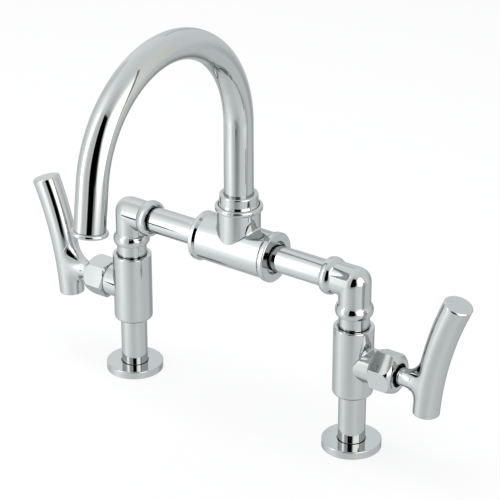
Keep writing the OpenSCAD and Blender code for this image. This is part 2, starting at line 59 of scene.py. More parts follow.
BODY_R, BODY_Z, BODY_TOP = 14.9, 43.9, 98.55
PORT_R, PORT_LEN, THREAD_R, THREAD_END = 12.7, 20.4, 11.0, 29.9
PIPE_R, PIPE_BORE = 9.9, 8.4
RUN_R, RUN_END, MOUTH_R = 17.5, 33.6, 12.5
BRANCH_R, BRANCH_TOP, RIM_R = 16.1, 167.0, 17.7
COLLAR_R, COLLAR_BORE = 14.35, 10.96
TUBE_R, TUBE_BORE, TUBE_FOOT, TUBE_BEND = 10.9, 9.7, 143.4, 229.2
AROUND = 144
print("Legs stand at x = +-", HALF_CENTRES, "and the bridge lies at z =", BRIDGE_Z)

# %% [markdown]
# ## A profile with rounded corners
# Real metal has no perfectly sharp edge: each one is broken by polishing, and the thin bright
# line on it is what makes chrome look solid. So every turned piece starts from a few corners,
# each with its own rounding. Beside each rounding comes one more point on the flat, so that the
# smooth shading of the arc doesn't spread over the flat.
# %% Profile helpers
ARC_STEPS = 7
SUPPORT = 0.06


def unit(v):
    """Each row divided by its length."""
    return v / np.maximum(np.linalg.norm(v, axis=-1, keepdims=True), 1e-12)


def rounded(corners, closed):
    """Points of an outline with its corners rounded. Rows of corners are (s, r, rounding).
    A fillet of radius q in a corner of half angle h starts q / tan(h) before the corner, and its
    centre lies q / sin(h) from it, along the line that halves the corner."""
    corners = np.array(corners, float)
    at, q = corners[:, :2], corners[:, 2]
    a, b = unit(np.roll(at, 1, 0) - at), unit(np.roll(at, -1, 0) - at)
    half = np.arccos(np.clip((a * b).sum(1), -1, 1)) / 2
    half = np.clip(half, 1e-3, math.pi / 2 - 1e-3)
    setback = (q / np.tan(half))[:, None]
    centre = at + unit(a + b) * (q / np.sin(half))[:, None]
    first, last = at + a * setback - centre, at + b * setback - centre
    swing = (math.pi - 2 * half)[:, None, None]
    t = np.linspace(0, 1, ARC_STEPS)[None, :, None]
    arc = centre[:, None] + (np.sin((1 - t) * swing) * first[:, None]
                             + np.sin(t * swing) * last[:, None]) / np.sin(swing)
    away = np.where(q > 0, SUPPORT, 0.0)[:, None]
    before, after = at + a * (setback + away), at + b * (setback + away)
    points = np.concatenate([before[:, None], arc, after[:, None]], axis=1).reshape(-1, 2)
    apart = np.linalg.norm(points - np.roll(points, 1, 0), axis=1) > 1e-5
    apart[0] = True
    points = points[apart]
    return np.vstack([points, points[:1]]) if closed else points


def dense(profile, step):
    """The same outline with points no further apart than step, as a bend needs."""
    gap = np.linalg.norm(np.diff(profile, axis=0), axis=1)
    along = np.concatenate([[0], np.cumsum(gap)])
    extra = np.arange(0, along[-1], step)
    extra = extra[np.abs(extra[:, None] - along[None]).min(1) > 0.3 * step]
    stations = np.sort(np.concatenate([along, extra]))
    return np.stack([np.interp(stations, along, profile[:, k]) for k in (0, 1)], axis=1)


sample = rounded([(0, 0, 0), (0, 10, 1), (5, 10, 1), (5, 0, 0)], closed=False)
print("A disc's rounded outline has", len(sample), "points")

# %% [markdown]
# ## Carrying a profile along an axis
# A faucet is made of turned parts and bent tubes, and both are the same surface: a circle whose
# radius changes as it is carried along an axis, which is straight for a turned part and has one
# bend in it for a tube. So one function makes them all, and a straight axis is a bend of 0 degrees.
# %% Turned and bent surfaces
def axis_at(s, start, along, towards, straight=0.0, radius=1.0, turn=0.0):
    """Points of an axis and the two directions across it, at the lengths s along it.
    It runs straight, then round an arc towards a side, then straight again: at the turned angle
    f the arc has added radius * sin(f) ahead and radius * (1 - cos(f)) aside."""
    start, d, n = (np.array(v, float) for v in (start, along, towards))
    turn = math.radians(turn)
    f = np.clip((s - straight) / radius, 0, turn)
    after = np.maximum(s - straight - radius * turn, 0)
    before = np.minimum(s, straight)
    ahead = before + radius * np.sin(f) + after * math.cos(turn)
    aside = radius * (1 - np.cos(f)) + after * math.sin(turn)
    centre = start + ahead[:, None] * d + aside[:, None] * n
    across = -np.sin(f)[:, None] * d + np.cos(f)[:, None] * n
    level = np.broadcast_to(np.cross(d, n), across.shape)
    return centre, across, level


def carried(profile, around=AROUND, **axis):
    """Grid of points: centre(s) + r * (cos(a) * across + sin(a) * level), for each point (s, r)
    of the profile and each angle a of the circle."""
    centre, across, level = axis_at(profile[:, 0], **axis)
    a = np.arange(around) * 2 * math.pi / around
    ring = np.cos(a)[None, :, None] * across[:, None] + np.sin(a)[None, :, None] * level[:, None]
    return centre[:, None] + profile[:, 1][:, None, None] * ring


def upright():
    """Axis that goes straight up."""
    return dict(start=(0, 0, 0), along=(0, 0, 1), towards=(1, 0, 0))


def outward(z):
    """Axis that goes along +X at height z."""
    return dict(start=(0, 0, z), along=(1, 0, 0), towards=(0, 0, -1))


def on_side(grid, side):
    """A grid drawn round a leg with +X outwards, moved to the leg at side -1 or 1."""
    return np.stack([side * (HALF_CENTRES + grid[..., 0]), grid[..., 1], grid[..., 2]], axis=-1)


print("A straight axis and a bend share one formula")

# %% [markdown]
# ## The crease where two cylinders meet
# A cast tee has a small hollow where its branch stands on its run, and in chrome that hollow shows
# as a dark line. It is the skin of a ball that rolls along both cylinders.
# %% Crease
def crease(big, small, q):
    """Closed grid of the fillet of radius q where a cylinder of radius small, about the third axis,
    stands on one of radius big, about the first. The ball's centre keeps q from both skins: it is
    ((small + q) cos t, (small + q) sin t, sqrt((big + q)^2 - y^2)) at the angle t."""
    t = np.arange(2 * AROUND) * math.pi / AROUND
    x, y = (small + q) * np.cos(t), (small + q) * np.sin(t)
    centre = np.stack([x, y, np.sqrt((big + q) ** 2 - y ** 2)], axis=-1)
    to_big = centre * (0, -1, -1) / (big + q)
    to_small = centre * (-1, -1, 0) / (small + q)
    swing = np.arccos(np.clip((to_big * to_small).sum(-1), -1, 1))[:, None]
    s = np.linspace(0, 1, 11)[:, None, None]
    arc = centre + q * (np.sin((1 - s) * swing) * to_big
                        + np.sin(s * swing) * to_small) / np.sin(swing)
    within = centre + 1.8 * q * unit(to_big + to_small)
    return np.concatenate([arc, within[None], arc[:1]])


print("The crease of the tee takes", crease(RUN_R, BRANCH_R, 1.0).shape, "numbers")

# %% [markdown]
# ## From grids to objects
# A piece may hold several closed shells that run into each other, as a port runs into its valve
# body. Each shell's faces are checked by its volume: the sum of the corner determinants over six
# is negative where a shell is inside out, and then its faces are turned over.
# %% Meshes from grids
def shell(grid):
    """Vertices and quads of a grid that closes on itself around. A row at one point is a pole, and
    points that stay where they were in the row before are the same vertex."""
    rows, cols = grid.shape[:2]
    stays = np.zeros((rows, cols), bool)
    stays[1:] = np.linalg.norm(np.diff(grid, axis=0), axis=-1) < 1e-7
    first = np.maximum.accumulate(np.where(stays, 0, np.arange(rows)[:, None]), axis=0)
    index = first * cols + np.arange(cols)
    pole = np.ptp(grid, axis=1).max(axis=1) < 1e-7
    index[pole] = index[pole, :1]
    if np.abs(grid[0] - grid[-1]).max() < 1e-7 and not pole[0]:
        index[-1] = index[0]
    right = np.roll(index, -1, axis=1)
    quads = np.stack([index[:-1], right[:-1], right[1:], index[1:]], axis=-1).reshape(-1, 4)
    points = grid.reshape(-1, 3)
    p = [points[quads[:, k]] for k in range(4)]
    volume = (np.einsum("ij,ij->i", p[0], np.cross(p[1], p[2])).sum()
              + np.einsum("ij,ij->i", p[0], np.cross(p[2], p[3])).sum()) / 6
    if volume < 0:
        quads = quads[:, ::-1]
    return points, quads, abs(volume)


def piece(name, grids, body, stands_for, material):
    """One object from several grids in millimetres. It rides on a body and hides a CAD node.
    A quad with two corners in one point, as beside a pole, becomes a triangle."""
    shells = [shell(g) for g in grids]
    base = np.cumsum([0] + [len(s[0]) for s in shells])
    points = np.concatenate([s[0] for s in shells]) * MM
    quads = np.concatenate([s[1] + b for s, b in zip(shells, base)])
    used, quads = np.unique(quads, return_inverse=True)
    quads = quads.reshape(-1, 4)
    twin = quads == np.roll(quads, 1, axis=1)
    whole = ~twin.any(axis=1)
    fans = quads[~whole][~twin[~whole]].reshape(-1, 3)
    mesh = bpy.data.meshes.new(name)
    mesh.from_pydata(points[used].tolist(), [], quads[whole].tolist() + fans.tolist())
    mesh.shade_smooth()
    mesh.materials.append(material)
    made = bpy.data.objects.new(name, mesh)
    bpy.context.scene.collection.objects.link(made)
    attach(made, body)
    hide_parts(*stands_for)
    print(f"{name}: {len(mesh.polygons)} faces, {sum(s[2] for s in shells) / 1000:.1f} cm3")
    return made


# %% [markdown]
# ## Node helpers
# Materials are built from nodes. A few short helpers keep that readable: one adds a node and sets
# its sockets, and the others add a sum, a soft step, a mix of two colours and a new material.
# %% Node helpers
def add(tree, kind, settings=None, **sockets):
    """Adds a node, sets its properties, and sets or links its input sockets by their names, or by
    their numbers as i0, i1 and so on."""
    node = tree.nodes.new(kind)
    for key, value in (settings or {}).items():
        setattr(node, key, value)
    for key, value in sockets.items():
        socket = node.inputs[int(key[1:]) if key[1:].isdigit() else key.replace("_", " ")]
        if isinstance(value, bpy.types.NodeSocket):
            tree.links.new(value, socket)
        else:
            socket.default_value = value
    return node


def maths(tree, operation, *values):
    """Output of one Math node."""
    sockets = {f"i{k}": v for k, v in enumerate(values)}
    return add(tree, "ShaderNodeMath", dict(operation=operation), **sockets).outputs[0]


def smooth_step(tree, value, low, high):
    """0 below low, 1 above high, and a soft step between them."""
    node = add(tree, "ShaderNodeMapRange", dict(interpolation_type="SMOOTHSTEP"),
               Value=value, From_Min=low, From_Max=high)
    return node.outputs["Result"]


def blend(tree, share, first, second):
    """Mix of two colours, each a socket or a triple. The node's colour sockets are the inputs 6 and
    7 and the output 2."""
    node = add(tree, "ShaderNodeMix", dict(data_type="RGBA"), i0=share)
    for k, colour in ((6, first), (7, second)):
        if isinstance(colour, tuple):
            node.inputs[k].default_value = (*colour, 1)
        else:
            tree.links.new(colour, node.inputs[k])
    return node.outputs[2]


def fresh(name):
    """A new material with an empty node tree and its output node."""
    material = bpy.data.materials.new(name)
    material.use_nodes = True
    material.node_tree.nodes.clear()
    return material, material.node_tree, material.node_tree.nodes.new("ShaderNodeOutputMaterial")


print("Node helpers are ready")

# %% [markdown]
# ## Polished chrome
# Chrome plate is a mirror with hardly any colour of its own, but it gives back only some half of
# the light. So where one part shows another, in a crease or beside a mouth, the picture is a good
# deal darker than the room. A perfect mirror looks like a computer's work, so this one has what a
# polished casting has: a slow waviness of a few hundredths of a millimetre left by the buffing
# wheel, and a roughness that drifts a little over the surface.
# %% Chrome material
EDGE = (0.74, 0.74, 0.74, 1)


def chrome_finish(name, colour, wave):
    """Metal with a noise in its roughness and a low bump from a larger noise. EDGE is its tint at a
    grazing angle."""
    material, tree, out = fresh(name)
    place = add(tree, "ShaderNodeTexCoord").outputs["Object"]
    drift = add(tree, "ShaderNodeTexNoise", Vector=place, Scale=90.0, Detail=3.0)
    rough = add(tree, "ShaderNodeMapRange", Value=drift.outputs["Fac"], To_Min=0.02, To_Max=0.055)
    slow = add(tree, "ShaderNodeTexNoise", Vector=place, Scale=55.0, Detail=1.0)
    bump = add(tree, "ShaderNodeBump", Strength=1.0, Distance=wave, Height=slow.outputs["Fac"])
    metal = add(tree, "ShaderNodeBsdfPrincipled", Base_Color=(*colour, 1), Metallic=1.0,
                Specular_Tint=EDGE, Roughness=rough.outputs["Result"],
                Normal=bump.outputs["Normal"])
    tree.links.new(metal.outputs["BSDF"], out.inputs["Surface"])
    return material


chrome = chrome_finish("polished chrome", (0.500, 0.508, 0.516), 0.00004)
lever_chrome = chrome_finish("lever chrome", (0.508, 0.516, 0.524), 0.00003)
print("Made", chrome.name, "and", lever_chrome.name)

# %% [markdown]
# ## The other finishes
# What lies inside the faucet is kept from the CAD: rubber rings, brass cartridges, ceramic discs,
# plastic glides and steel screws. Each gets its own finish from noise on object coordinates:
# rubber is matt with a fine grain, turned brass shines unevenly, ceramic is smooth and faintly
# speckled, moulded plastic has a soft sheen, and steel is bright. The end of each cartridge
# that looks out of its nut is painted black, as painted shade.
# %% Materials of the inner pieces
PAINTED_SHADE_BLACK = (0.012,) * 3


def inner_finish(name, dark, light, roughness, metallic, scale, depth, nose=0.0):
    """Colour between two tones by a noise, with the same noise as a fine bump. Further from the
    middle than nose, where a cartridge looks out of its nut into shade, the colour is painted
    black as painted shade."""
    material, tree, out = fresh(name)
    place = add(tree, "ShaderNodeTexCoord").outputs["Object"]
    grain = add(tree, "ShaderNodeTexNoise", Vector=place, Scale=scale, Detail=6.0)
    colour = blend(tree, grain.outputs["Fac"], dark, light)
    if nose:
        aside = add(tree, "ShaderNodeSeparateXYZ", Vector=place).outputs["X"]
        beyond = smooth_step(tree, maths(tree, "ABSOLUTE", aside), nose, nose + 0.0004)
        # painted shade: the cartridge's end, deep in the nut's mouth, is painted black
        colour = blend(tree, beyond, colour, PAINTED_SHADE_BLACK)
    low, high = roughness
    rough = add(tree, "ShaderNodeMapRange", Value=grain.outputs["Fac"], To_Min=low, To_Max=high)
    bump = add(tree, "ShaderNodeBump", Strength=0.6, Distance=depth, Height=grain.outputs["Fac"])
    surface = add(tree, "ShaderNodeBsdfPrincipled", Base_Color=colour, Metallic=metallic,
                  Roughness=rough.outputs["Result"], Normal=bump.outputs["Normal"])
    tree.links.new(surface.outputs["BSDF"], out.inputs["Surface"])
    return material


inner = {
    "rubber": inner_finish("black rubber", (0.012,) * 3, (0.03,) * 3, (0.55, 0.8),
                           0.0, 2500, 0.00003),
    # the brass cartridge's end beyond 0.1325 m is painted black, as painted shade
    "brass": inner_finish("turned brass", (0.60, 0.42, 0.17), (0.74, 0.56, 0.27), (0.2, 0.4),
                          1.0, 900, 0.00001, nose=0.1325),
    "ceramic": inner_finish("white ceramic", (0.80, 0.79, 0.75), (0.88, 0.87, 0.84), (0.12, 0.2),
                            0.0, 1800, 0.000004),
    "plastic": inner_finish("moulded plastic", (0.10, 0.105, 0.11), (0.15, 0.155, 0.165),
                            (0.35, 0.5), 0.0, 1500, 0.00001),
    "steel": inner_finish("stainless steel", (0.45, 0.45, 0.46), (0.58, 0.58, 0.59), (0.18, 0.34),
                          1.0, 1200, 0.000008),
}
paired = {
    "rubber": ["deck_gasket", "riser_oring", "seat_seal", "stem_oring", "elbow_oring",
               "ferrule_oring"],
    "ceramic": ["fixed_disc", "turning_disc"],
    "brass": ["cartridge", "stem"],
    "steel": ["grub_screw"],
}
kept = {finish: [f"{side}_{n}" for side in ("hot", "cold") for n in names]
        for finish, names in paired.items()}
kept["rubber"] += ["swivel_orings", "aerator_washer"]
kept["brass"] += ["swivel_bush"]
kept["plastic"] = ["lower_glide_ring", "upper_glide_ring", "aerator_insert"]
for finish, names in kept.items():
    for name in names:
        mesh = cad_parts[name].data
        mesh.materials.clear()
        mesh.materials.append(inner[finish])
print("CAD nodes kept with a new finish:", sum(len(names) for names in kept.values()))

# %% [markdown]
# ## Deck flanges and risers
# Each leg ends in a round escutcheon on the deck, with a riser pipe standing in its hole. Both
# are turned: a ring with a rounded upper rim, and a plain tube. The small gap between them
# shows as a dark line, so the hole is a real hole.
# %% Flanges and risers
SIDES = {"hot": -1, "cold": 1}
for word, side in SIDES.items():
    ring = rounded([(0, FLANGE_R, 0.4), (FLANGE_H, FLANGE_R, 0.8), (FLANGE_H, FLANGE_HOLE, 0.2),
                    (0, FLANGE_HOLE, 0.2)], closed=True)
    piece(f"{word}_flange", [on_side(carried(ring, **upright()), side)], "faucet",
          [f"{word}_deck_flange"], chrome)
    tube = rounded([(0, RISER_R, 0.2), (RISER_TOP, RISER_R, 0.2), (RISER_TOP, RISER_BORE, 0.2),
                    (0, RISER_BORE, 0.2)], closed=True)
    piece(f"{word}_leg_pipe", [on_side(carried(tube, **upright()), side)], "faucet",
          [f"{word}_riser"], chrome)

# %% [markdown]
# ## Valve bodies
# The valve body is a turned barrel with a rounded foot, and a short port that carries the bonnet
# nut. A small hollow runs along the crease between port and barrel. The top has a narrow ring
# sunk into it round the elbow's neck.
# %% Valve bodies
SOCKET, PORT_BORE, PORT_HOLLOW = 12.0, 9.2, 0.9
RECESS_R, RECESS_DEPTH, NECK_HOLE_R = 12.2, 1.5, 11.4


def valve_shells():
    """Barrel, port, the port's threaded end and the crease, in the leg's own frame."""
    foot, socket, seat = BODY_Z + SOCKET, BODY_TOP - SOCKET, RISER_R + 0.05
    ring = BODY_TOP - RECESS_DEPTH
    barrel = rounded([(foot, 0, 0), (foot, seat, 0.1), (BODY_Z, seat, 0.2), (BODY_Z, BODY_R, 3.0),
                      (BODY_TOP, BODY_R, 0.9), (BODY_TOP, RECESS_R, 0.2), (ring, RECESS_R, 0.1),
                      (ring, NECK_HOLE_R, 0.1), (socket, NECK_HOLE_R, 0.1), (socket, 0, 0)],
                     closed=False)
    port = rounded([(0, 0, 0), (0, PORT_R, 0.1), (PORT_LEN, PORT_R, 0.5), (PORT_LEN, 0, 0)],
                   closed=False)
    spigot = rounded([(2, PORT_BORE, 0.1), (2, THREAD_R, 0.1), (THREAD_END, THREAD_R, 0.3),
                      (THREAD_END, PORT_BORE, 0.1)], closed=True)
    hollow = crease(BODY_R, PORT_R, PORT_HOLLOW)[..., ::-1] + (0, 0, STEM_Z)
    return [carried(barrel, **upright()), carried(port, **outward(STEM_Z)),
            carried(spigot, **outward(STEM_Z)), hollow]


for word, side in SIDES.items():
    piece(f"{word}_valve_barrel", [on_side(g, side) for g in valve_shells()], "faucet",
          [f"{word}_valve_body"], chrome)

# %% [markdown]
# ## Bonnet nuts
# A hexagon nut is turned before its flats are milled, so each flat ends in a curved line where
# it meets the turned chamfer or crown. A grid gets that line right when its rows follow it: at
# each angle the flat runs from where the hexagon meets the chamfer to where it meets the crown.
# %% Bonnet nut
NUT_FLAT, NUT_CORNER, NUT_END, NUT_MOUTH = 27.7 / 2, 0.5, 39.7, 8.9
NUT_FACE, NUT_NOSE, NUT_CROWN, NUT_BORE_LEN, NUT_NEAR = 13.1, 11.2, 6.5, 9, 0.09


def hexagon(a):
    """Distance from the centre to a hexagon with rounded corners, at angle a from a corner: flat
    half width over cos(angle from the flat's middle), or the corner circle's far side."""
    a = (a + math.pi / 6) % (math.pi / 3) - math.pi / 6
    flat = NUT_FLAT / np.cos(math.pi / 6 - np.abs(a))
    centre = (NUT_FLAT - NUT_CORNER) / math.cos(math.pi / 6)
    touch = math.atan2(NUT_CORNER / 2, centre + NUT_CORNER * math.cos(math.pi / 6))
    inside = np.maximum(NUT_CORNER ** 2 - (centre * np.sin(a)) ** 2, 0)
    return np.where(np.abs(a) < touch, centre * np.cos(a) + np.sqrt(inside), flat)


def nut_grid(turn):
    """Rows of the nut from its inner face to its mouth, with one more row close beside each edge.
    The crown is an arc of radius q from the corners' radius to the nose, and its height where the
    radius is r is the root of q^2 - (r - c)^2, with c = the corners' radius - q."""
    sharp = NUT_FLAT * 2 / math.sqrt(3)
    span = np.concatenate([np.linspace(-2.2, 2.2, 13), np.linspace(3.2, 56.8, 23)])
    a = np.radians((span[None, :] + 60 * np.arange(6)[:, None]).ravel())
    hexa = hexagon(a)
    lean = math.atan2(NUT_CROWN, sharp - NUT_NOSE)
    q = math.hypot(NUT_CROWN, sharp - NUT_NOSE) / 2 / math.cos(lean)

    def crown_at(r):
        return NUT_END - NUT_CROWN + np.sqrt(q ** 2 - (r - sharp + q) ** 2)

    def chamfer_at(r):
        return PORT_LEN + (r - NUT_FACE) * math.tan(math.radians(30))

    e, deep = NUT_NEAR, PORT_LEN + NUT_BORE_LEN
    rows = [(deep, NUT_MOUTH), (PORT_LEN, NUT_MOUTH), (PORT_LEN, NUT_MOUTH + e),
            (PORT_LEN, NUT_FACE - e), (PORT_LEN, NUT_FACE),
            (chamfer_at(NUT_FACE + e), NUT_FACE + e), (chamfer_at(hexa - e), hexa - e),
            (chamfer_at(hexa), hexa), (chamfer_at(hexa) + e, hexa),
            (crown_at(hexa) - e, hexa), (crown_at(hexa), hexa)]
    for t in np.linspace(0.02, 1, 12):
        r = hexa + (NUT_NOSE - hexa) * t
        rows.append((crown_at(r), r))
    rows += [(NUT_END, NUT_NOSE - e), (NUT_END, NUT_MOUTH + 0.4), (NUT_END - 0.1, NUT_MOUTH + 0.1),
             (NUT_END - 0.4, NUT_MOUTH), (deep, NUT_MOUTH)]
    x = np.stack([np.broadcast_to(row[0], a.shape) for row in rows])
    r = np.stack([np.broadcast_to(row[1], a.shape) for row in rows])
    a = a + math.radians(turn)
    return np.stack([x, r * np.sin(a), STEM_Z - r * np.cos(a)], axis=-1)


for word, turn in (("hot", 40), ("cold", 11)):
    piece(f"{word}_nut", [on_side(nut_grid(turn), SIDES[word])], "faucet",
          [f"{word}_bonnet_nut"], chrome)

# %% [markdown]
# ## Lever handles
# The lever is a round bar with a slow bend that widens a little upwards. Its lower end is cut off
# square and its upper end nearer to level, and its neck flows into it through a wide hollow. The
# bar is the carried circle again. The flow is a surface between two curves: a circle round the
# neck, and a loop lying on the bar. It leaves the neck along the neck and arrives on the bar along
# the bar, so no line shows where the surfaces meet.
# %% Lever handle
BAR_FOOT_R, BAR_TOP_R, BAR_OFFSET, BAR_LEAN, BAR_BEND = 9.8, 10.6, 64.6, 8.1, 255.0
BAR_UP, BAR_DOWN, NECK_R, NECK_START = 73.0, 23.0, 6.6, 34.7
END_TILT, END_BLEND = 7.0, 14.0
FLOW_START, FLOW_UP, FLOW_DOWN, FLOW_WIDE = 41.6, 21.0, 19.0, math.radians(86)
FLOW_OUT, FLOW_IN = 22.0, 24.0


def bar_point(s, f):
    """Point of the bar's skin, s above the stem along its arc and f round it from the leg's side:
    arc centre + (arc radius + R cos f) inwards + R sin f across, where R grows from the bar's foot
    to its top. Also its two tangents."""
    lean = math.radians(BAR_LEAN)
    r = np.interp(s, (-BAR_DOWN, BAR_UP), (BAR_FOOT_R, BAR_TOP_R))
    a = lean + s / BAR_BEND
    hub = np.array([BAR_OFFSET + BAR_BEND * math.cos(lean), 0, STEM_Z - BAR_BEND * math.sin(lean)])
    inwards = np.stack([-np.cos(a), 0 * a, np.sin(a)], axis=-1)
    up = np.stack([np.sin(a), 0 * a, np.cos(a)], axis=-1)
    across = np.array([0, -1.0, 0])
    level = inwards * (BAR_BEND + r * np.cos(f))[..., None]
    point = hub + level + (r * np.sin(f))[..., None] * across
    onwards = -np.sin(f)[..., None] * inwards + np.cos(f)[..., None] * across
    return point, up, r[..., None] * onwards


def lever_bar():
    """The bar, whose points near the upper end rise by tan(tilt) for each millimetre outwards."""
    low = math.radians(BAR_LEAN) - BAR_DOWN / BAR_BEND
    foot = bar_point(np.full(2, -BAR_DOWN), np.array([0, math.pi]))[0].mean(axis=0)
    length = BAR_UP + BAR_DOWN
    ends = rounded([(0, 0, 0), (0, BAR_FOOT_R, 0.9), (length, BAR_TOP_R, 1.6), (length, 0, 0)],
                   closed=False)
    along = np.array([math.sin(low), 0, math.cos(low)])
    side = np.array([math.cos(low), 0, -math.sin(low)])
    ends = dense(ends, 2.0)
    bar = carried(ends, start=foot, along=along, towards=side,
                  radius=BAR_BEND, turn=math.degrees(length / BAR_BEND))
    high = low + length / BAR_BEND
    out = np.array([math.cos(high), 0, -math.sin(high)])
    up = np.array([math.sin(high), 0, math.cos(high)])
    share = np.clip((ends[:, 0] - length + END_BLEND) / END_BLEND, 0, 1) ** 2
    rise = (bar - bar.mean(axis=1, keepdims=True)) @ out * math.tan(math.radians(END_TILT))
    return bar + (share[:, None] * rise)[..., None] * up


def lever_neck():
    """The neck with its flow into the bar. The flow blends the end points P, the tangents T and the
    bar's own bend B: (1 - w) P0 + (t - 6t^3 + 8t^4 - 3t^5) T0 + w P1 + (-4t^3 + 7t^4 - 3t^5) T1
    + (t^3 - 2t^4 + t^5) / 2 B, with w = 10t^3 - 15t^4 + 6t^5. Along a path that crosses the bar's
    radius r at an angle with the sine c, B = -(T c)^2 / r along the outward normal."""
    a = np.arange(AROUND) * 2 * math.pi / AROUND
    neck = rounded([(NECK_START, 0, 0), (NECK_START, NECK_R, 0.4), (FLOW_START, NECK_R, 0)],
                   closed=False)
    neck = carried(neck, start=(0, 0, STEM_Z), along=(1, 0, 0), towards=(0, 0, 1))
    reach = np.where(np.cos(a) > 0, FLOW_UP, FLOW_DOWN)
    end, up, around = bar_point(reach * np.cos(a), FLOW_WIDE * np.sin(a))
    onto = unit((reach * np.cos(a))[:, None] * up + (FLOW_WIDE * np.sin(a))[:, None] * around)
    radius = np.linalg.norm(around, axis=-1, keepdims=True)
    crossing = (onto * around).sum(-1, keepdims=True) / radius
    bend = (FLOW_IN * crossing) ** 2 / radius * unit(np.cross(up, around))
    t = np.linspace(0, 1, 41)[1:, None, None]
    w = 10 * t ** 3 - 15 * t ** 4 + 6 * t ** 5
    flow = ((1 - w) * neck[-1] + w * end
            + (t - 6 * t ** 3 + 8 * t ** 4 - 3 * t ** 5) * FLOW_OUT * np.array([1.0, 0, 0])
            + (-4 * t ** 3 + 7 * t ** 4 - 3 * t ** 5) * FLOW_IN * onto
            + (t ** 3 - 2 * t ** 4 + t ** 5) / 2 * bend)
    closing = np.broadcast_to(np.array([BAR_OFFSET, 0, STEM_Z]), flow[:1].shape)
    return np.concatenate([neck, flow, closing])


for word, side in SIDES.items():
    piece(f"{word}_lever", [on_side(g, side) for g in (lever_bar(), lever_neck())],
          f"{word}_lever", [f"{word}_handle"], lever_chrome)

# %% [markdown]
# ## Elbows
# The elbow stands in the valve body's top, turns sharply through 90 degrees, and ends in a mouth
# with a dark ring round the pipe. A round bead swells at its foot and another at its mouth, each
# cut off flat on the side away from the corner. The corner isn't a bend: two equal cylinders meet
# in a mitre, with a full round outside and a small hollow inside. Lines that run along the barrel
# are carried round the corner one by one, on a curve each.
# %% Elbow surface
ELBOW_R, ELBOW_NECK_R, ELBOW_REACH, GAP_R, GAP_DEPTH = 11.85, 11.35, 22.8, 11.3, 2.5
BEAD_R, BEAD_HALF, BEAD_CUT, BEAD_RISE = 13.95, 5.1, 3.6, 13.2
CORNER_POWER, CORNER_HOLLOW = 2.37, 1.6


def bead(middle, low, high):
    """Corners of an arc over the barrel from low to high beside its middle. Over a half width w
    an arc that rises by h has the radius (w^2 + h^2) / 2h."""
    h = BEAD_R - ELBOW_R
    q = (BEAD_HALF ** 2 + h ** 2) / 2 / h
    u = np.linspace(math.asin(low / q), math.asin(high / q), 25)
    soft = np.zeros_like(u)
    soft[[0, -1]] = 0.3
    rows = np.stack([middle + q * np.sin(u), BEAD_R - q + q * np.cos(u), soft], axis=1)
    return [tuple(row) for row in rows]


def elbow_grid():
    """The line at angle a round the barrel lies m = R cos a from the axis, on the outer side when
    m is positive. There it follows |x|^p + |z|^p = m^p round the corner, and on the inner side a
    quarter circle of radius q that joins both straight runs."""
    a = np.arange(AROUND) * 2 * math.pi / AROUND
    foot, crest, low = BODY_TOP + BEAD_RISE, ELBOW_REACH - BEAD_CUT, BODY_TOP - SOCKET + 0.1
    rise = rounded([(low, 0, 0), (low, ELBOW_NECK_R, 0.2), (foot - BEAD_CUT, ELBOW_NECK_R, 0.5),
                    *bead(foot, -BEAD_CUT, BEAD_HALF), (foot + BEAD_HALF + 0.5, ELBOW_R, 0)],
                   closed=False)
    level = rounded([(crest - BEAD_HALF - 0.5, ELBOW_R, 0), *bead(crest, -BEAD_HALF, BEAD_CUT),
                     (ELBOW_REACH, GAP_R, 0.15), (ELBOW_REACH - GAP_DEPTH, GAP_R, 0.1),
                     (ELBOW_REACH - GAP_DEPTH, 0, 0)], closed=False)
    upright_rows = np.stack([rise[:, 1:] * np.cos(a), rise[:, 1:] * np.sin(a),
                             rise[:, :1] + 0 * a], axis=-1)
    level_rows = np.stack([-level[:, :1] + 0 * a, level[:, 1:] * np.sin(a),
                           BRIDGE_Z + level[:, 1:] * np.cos(a)], axis=-1)
    f = np.linspace(0, math.pi / 2, 31)[:, None]
    m, q = ELBOW_R * np.cos(a), CORNER_HOLLOW * np.abs(np.cos(a))
    outer = m * (np.cos(f) ** CORNER_POWER + np.sin(f) ** CORNER_POWER) ** (-1 / CORNER_POWER)
    x = np.where(m > 0, outer * np.cos(f), m - q + q * np.cos(f))
    z = np.where(m > 0, outer * np.sin(f), m - q + q * np.sin(f))
    corner_rows = np.stack([x, ELBOW_R * np.sin(a) + 0 * f, BRIDGE_Z + z], axis=-1)
    return np.concatenate([upright_rows, corner_rows, level_rows])


for word, side in SIDES.items():
    piece(f"{word}_elbow_bend", [on_side(elbow_grid(), side)], "faucet",
          [f"{word}_elbow"], chrome)

# %% [markdown]
# ## Bridge pipes and ferrules
# The pipe is a plain tube, and the ferrule a stepped ring in the tee's mouth.
# %% Pipes and ferrules
PIPE_IN, PIPE_OUT, MOUTH_FLOOR, FERRULE_NOSE_R = 20.6 - HALF_CENTRES, -13.4, 27.6, 11.2
for word, side in SIDES.items():
    tube = rounded([(PIPE_IN, PIPE_R, 0.2), (PIPE_OUT, PIPE_R, 0.2), (PIPE_OUT, PIPE_BORE, 0.2),
                    (PIPE_IN, PIPE_BORE, 0.2)], closed=True)
    piece(f"{word}_bridge_tube", [on_side(carried(tube, **outward(BRIDGE_Z)), side)], "faucet",
          [f"{word}_bridge_pipe"], chrome)
    seat, step, nose = (MOUTH_FLOOR + s - HALF_CENTRES for s in (0, 2.4, 4.2))
    inner_r, outer_r = PIPE_R + 0.05, MOUTH_R - 0.05
    ring = rounded([(seat, outer_r, 0.1), (step, outer_r, 0.3), (step, FERRULE_NOSE_R, 0.1),
                    (nose, FERRULE_NOSE_R, 0.4), (nose, inner_r, 0.1), (seat, inner_r, 0.1)],
                   closed=True)
    piece(f"{word}_mouth_ring", [on_side(carried(ring, **outward(BRIDGE_Z)), side)], "faucet",
          [f"{word}_ferrule"], chrome)

